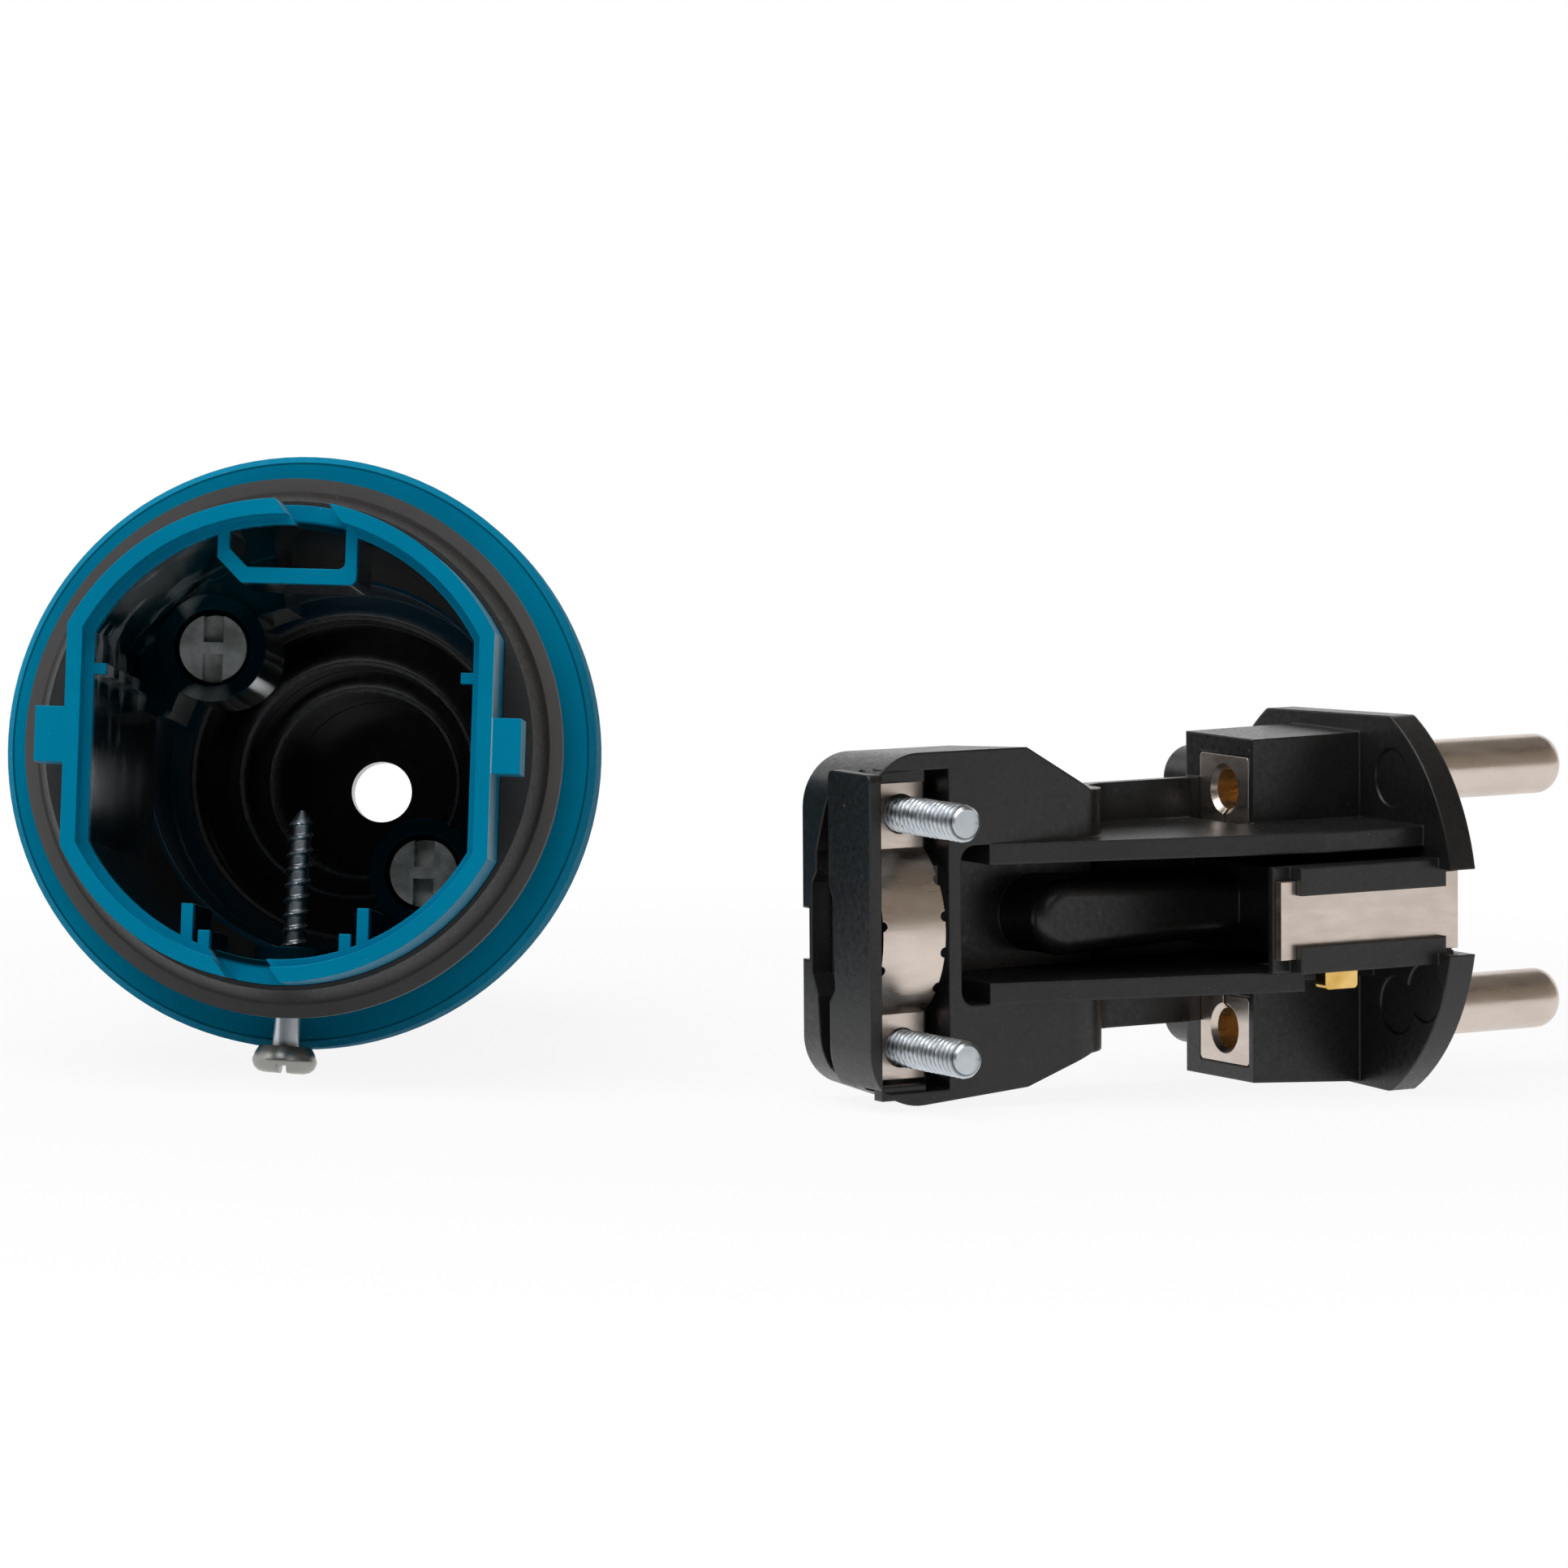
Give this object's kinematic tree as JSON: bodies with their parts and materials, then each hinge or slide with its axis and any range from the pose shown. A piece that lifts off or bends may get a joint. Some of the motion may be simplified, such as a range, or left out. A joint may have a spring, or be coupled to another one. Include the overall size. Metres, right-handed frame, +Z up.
{
  "type": "rewirable rubber mains plug",
  "caption": "Two-pin mains plug with side earth contacts, taken apart: a teal flanged housing with a rubber boot, and a black contact insert with terminals and cable clamp.",
  "frame": {"origin": "middle of the bottom of the box around both halves, on the floor", "axes": "+X from the housing to the insert, +Y from the housing mouth to its cable end, +Z up"},
  "size_m": [0.1232, 0.088, 0.0483],
  "materials": {
    "housing_teal": "satin moulded teal plastic",
    "boot_rubber": "smooth black rubber",
    "seal_rubber": "matt dark grey rubber",
    "peg_plastic": "glossy black plastic",
    "insert_plastic": "semi-gloss black plastic",
    "nickel": "nickel plate",
    "zinc": "bright zinc plate",
    "brass": "plain brass"
  },
  "bodies": {
    "root": {"housing_front": "housing_teal", "rubber_boot": "boot_rubber", "sealing_ring": "seal_rubber", "fixing_peg_upper": "peg_plastic", "fixing_peg_lower": "peg_plastic", "housing_screw": "zinc", "insert_body": "insert_plastic", "earth_strip": "nickel", "earth_terminal": "brass", "earth_screw": "brass", "clamp_strap": "nickel", "clamp_screw_upper": "zinc", "clamp_screw_lower": "zinc", "contact_pin_upper": "nickel", "contact_pin_lower": "nickel", "terminal_block_upper": "nickel", "terminal_block_lower": "nickel", "terminal_screw_upper": "brass", "terminal_screw_lower": "brass"}
  },
  "joints": []
}
